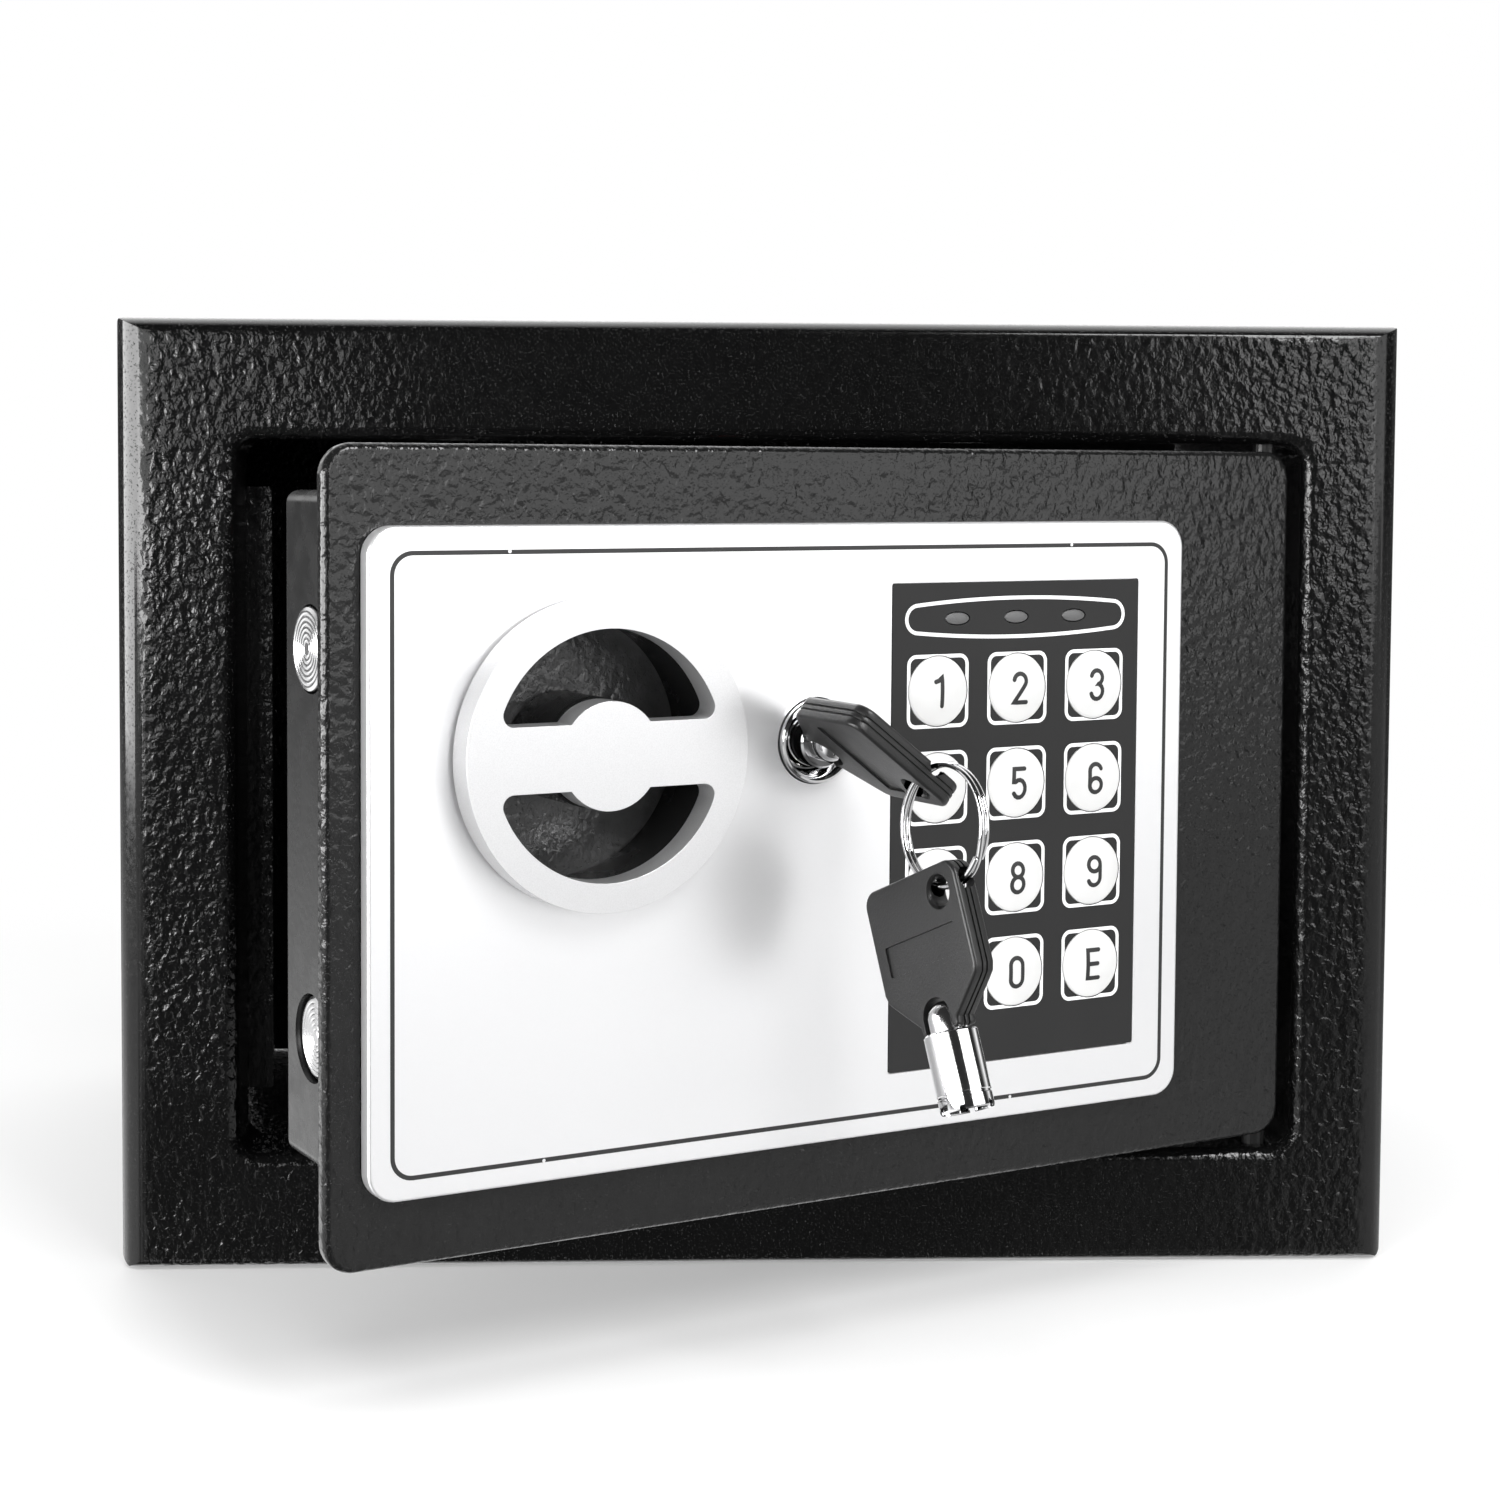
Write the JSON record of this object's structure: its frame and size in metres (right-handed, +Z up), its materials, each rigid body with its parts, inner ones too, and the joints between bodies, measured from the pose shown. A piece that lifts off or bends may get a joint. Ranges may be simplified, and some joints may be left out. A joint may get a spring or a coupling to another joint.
{
  "type": "wall safe",
  "caption": "Small steel wall safe standing ajar, with a round turn knob, tubular key lock, keypad, sliding live bolts and a removable battery cover.",
  "frame": {"origin": "centre of the body's underside", "axes": "+X to the right of someone facing the door, +Y towards the wall behind the safe, +Z up"},
  "size_m": [0.23, 0.2532, 0.17],
  "materials": {
    "body_shell": "glossy black textured powder coat",
    "rear_panel": "glossy black textured powder coat",
    "keeper_bar": "glossy black textured powder coat",
    "door_plate": "glossy black textured powder coat",
    "hinge_rod": "zinc-plated steel",
    "door_inner_box": "smooth gloss black paint",
    "cover_screw_1": "zinc-plated steel",
    "cover_screw_2": "zinc-plated steel",
    "cover_screw_3": "zinc-plated steel",
    "cover_screw_4": "zinc-plated steel",
    "fascia": "satin silver-white plastic",
    "keypad_label": "charcoal membrane",
    "led_lens_left": "unlit grey lens",
    "led_lens_middle": "unlit grey lens",
    "led_lens_right": "unlit grey lens",
    "knob_well": "black moulded plastic",
    "lock_base_plate": "glossy black textured powder coat",
    "solenoid_body": "zinc-plated steel",
    "lock_body": "polished chrome",
    "lock_nut": "zinc-plated steel",
    "control_board": "green circuit board",
    "battery_case": "black moulded plastic",
    "battery_1": "dark cell sleeve",
    "battery_2": "dark cell sleeve",
    "battery_3": "dark cell sleeve",
    "battery_4": "dark cell sleeve",
    "knob": "satin silver",
    "knob_hub": "black moulded plastic",
    "knob_crank": "zinc-plated steel",
    "bolt_carriage": "zinc-plated steel",
    "bolt_upper": "turned steel",
    "bolt_lower": "turned steel",
    "lock_plug": "polished chrome",
    "lock_tailpiece": "zinc-plated steel",
    "key_head": "black moulded plastic",
    "key_barrel": "polished chrome",
    "key_ring": "polished chrome",
    "spare_key_head": "black moulded plastic",
    "spare_key_barrel": "polished chrome",
    "battery_cover": "black moulded plastic",
    "reset_button": "red plastic",
    "solenoid_plunger": "turned steel",
    "key_1": "off-white domed key",
    "key_2": "off-white domed key",
    "key_3": "off-white domed key",
    "key_4": "off-white domed key",
    "key_5": "off-white domed key",
    "key_6": "off-white domed key",
    "key_7": "off-white domed key",
    "key_8": "off-white domed key",
    "key_9": "off-white domed key",
    "key_clear": "off-white domed key",
    "key_0": "off-white domed key",
    "key_enter": "off-white domed key"
  },
  "bodies": {
    "case": {"body_shell": "body_shell", "rear_panel": "rear_panel", "keeper_bar": "keeper_bar"},
    "door": {"door_plate": "door_plate", "hinge_rod": "hinge_rod", "door_inner_box": "door_inner_box", "cover_screw_1": "cover_screw_1", "cover_screw_2": "cover_screw_2", "cover_screw_3": "cover_screw_3", "cover_screw_4": "cover_screw_4", "fascia": "fascia", "keypad_label": "keypad_label", "led_lens_left": "led_lens_left", "led_lens_middle": "led_lens_middle", "led_lens_right": "led_lens_right", "knob_well": "knob_well", "lock_base_plate": "lock_base_plate", "solenoid_body": "solenoid_body", "lock_body": "lock_body", "lock_nut": "lock_nut", "control_board": "control_board", "battery_case": "battery_case", "battery_1": "battery_1", "battery_2": "battery_2", "battery_3": "battery_3", "battery_4": "battery_4"},
    "knob": {"knob": "knob", "knob_hub": "knob_hub", "knob_crank": "knob_crank"},
    "bolts": {"bolt_carriage": "bolt_carriage", "bolt_upper": "bolt_upper", "bolt_lower": "bolt_lower"},
    "plug": {"lock_plug": "lock_plug", "lock_tailpiece": "lock_tailpiece"},
    "key": {"key_head": "key_head", "key_barrel": "key_barrel"},
    "ring": {"key_ring": "key_ring"},
    "spare_key": {"spare_key_head": "spare_key_head", "spare_key_barrel": "spare_key_barrel"},
    "cover": {"battery_cover": "battery_cover"},
    "reset": {"reset_button": "reset_button"},
    "plunger": {"solenoid_plunger": "solenoid_plunger"},
    "button_1": {"key_1": "key_1"},
    "button_2": {"key_2": "key_2"},
    "button_3": {"key_3": "key_3"},
    "button_4": {"key_4": "key_4"},
    "button_5": {"key_5": "key_5"},
    "button_6": {"key_6": "key_6"},
    "button_7": {"key_7": "key_7"},
    "button_8": {"key_8": "key_8"},
    "button_9": {"key_9": "key_9"},
    "button_clear": {"key_clear": "key_clear"},
    "button_0": {"key_0": "key_0"},
    "button_enter": {"key_enter": "key_enter"}
  },
  "joints": [
    {"name": "door_hinge", "type": "hinge", "parent": "case", "child": "door", "pos_m": [0.0912, -0.0797, 0.085], "axis": [0, 0, 1], "range_deg": [-26.3, 63]},
    {"name": "knob_turn", "type": "hinge", "parent": "door", "child": "knob", "pos_m": [-0.02957, -0.15199, 0.1001], "axis": [0.4431, -0.8965, 0], "range_deg": [0, 60.1]},
    {"name": "bolt_slide", "type": "slide", "parent": "door", "child": "bolts", "axis": [-0.8965, -0.4431, 0], "range_m": [0, 0.012]},
    {"name": "plug_turn", "type": "hinge", "parent": "door", "child": "plug", "pos_m": [0.00363, -0.12889, 0.1001], "axis": [0.4431, -0.8965, 0], "range_deg": [-90, 0]},
    {"name": "key_pull", "type": "slide", "parent": "plug", "child": "key", "axis": [0.4431, -0.8965, 0], "range_m": [0, 0.016]},
    {"name": "ring_swing", "type": "hinge", "parent": "key", "child": "ring", "pos_m": [0.0198, -0.14979, 0.09608], "axis": [0.8499, 0.5199, -0.086], "range_deg": [-5, 5]},
    {"name": "spare_key_swing", "type": "hinge", "parent": "ring", "child": "spare_key", "pos_m": [0.02264, -0.15811, 0.08003], "axis": [0.8499, 0.5199, -0.086], "range_deg": [-4, 4]},
    {"name": "cover_slide", "type": "slide", "parent": "door", "child": "cover", "axis": [0, 0, 1], "range_m": [0, 0.025]},
    {"name": "reset_press", "type": "slide", "parent": "door", "child": "reset", "axis": [0.4431, -0.8965, 0], "range_m": [0, 0.0012], "stiffness_N_per_m": 300, "springref_m": -0.001},
    {"name": "plunger_lift", "type": "slide", "parent": "door", "child": "plunger", "axis": [0, 0, 1], "range_m": [0, 0.004], "stiffness_N_per_m": 60, "springref_m": -0.002},
    {"name": "press_1", "type": "slide", "parent": "door", "child": "button_1", "axis": [-0.4431, 0.8965, 0], "range_m": [0, 0.0006], "stiffness_N_per_m": 500, "springref_m": -0.0005},
    {"name": "press_2", "type": "slide", "parent": "door", "child": "button_2", "axis": [-0.4431, 0.8965, 0], "range_m": [0, 0.0006], "stiffness_N_per_m": 500, "springref_m": -0.0005},
    {"name": "press_3", "type": "slide", "parent": "door", "child": "button_3", "axis": [-0.4431, 0.8965, 0], "range_m": [0, 0.0006], "stiffness_N_per_m": 500, "springref_m": -0.0005},
    {"name": "press_4", "type": "slide", "parent": "door", "child": "button_4", "axis": [-0.4431, 0.8965, 0], "range_m": [0, 0.0006], "stiffness_N_per_m": 500, "springref_m": -0.0005},
    {"name": "press_5", "type": "slide", "parent": "door", "child": "button_5", "axis": [-0.4431, 0.8965, 0], "range_m": [0, 0.0006], "stiffness_N_per_m": 500, "springref_m": -0.0005},
    {"name": "press_6", "type": "slide", "parent": "door", "child": "button_6", "axis": [-0.4431, 0.8965, 0], "range_m": [0, 0.0006], "stiffness_N_per_m": 500, "springref_m": -0.0005},
    {"name": "press_7", "type": "slide", "parent": "door", "child": "button_7", "axis": [-0.4431, 0.8965, 0], "range_m": [0, 0.0006], "stiffness_N_per_m": 500, "springref_m": -0.0005},
    {"name": "press_8", "type": "slide", "parent": "door", "child": "button_8", "axis": [-0.4431, 0.8965, 0], "range_m": [0, 0.0006], "stiffness_N_per_m": 500, "springref_m": -0.0005},
    {"name": "press_9", "type": "slide", "parent": "door", "child": "button_9", "axis": [-0.4431, 0.8965, 0], "range_m": [0, 0.0006], "stiffness_N_per_m": 500, "springref_m": -0.0005},
    {"name": "press_clear", "type": "slide", "parent": "door", "child": "button_clear", "axis": [-0.4431, 0.8965, 0], "range_m": [0, 0.0006], "stiffness_N_per_m": 500, "springref_m": -0.0005},
    {"name": "press_0", "type": "slide", "parent": "door", "child": "button_0", "axis": [-0.4431, 0.8965, 0], "range_m": [0, 0.0006], "stiffness_N_per_m": 500, "springref_m": -0.0005},
    {"name": "press_enter", "type": "slide", "parent": "door", "child": "button_enter", "axis": [-0.4431, 0.8965, 0], "range_m": [0, 0.0006], "stiffness_N_per_m": 500, "springref_m": -0.0005}
  ],
  "couplings": [
    {"joint": "knob_turn", "follows": "bolt_slide", "rad_per_m": 87.266}
  ]
}
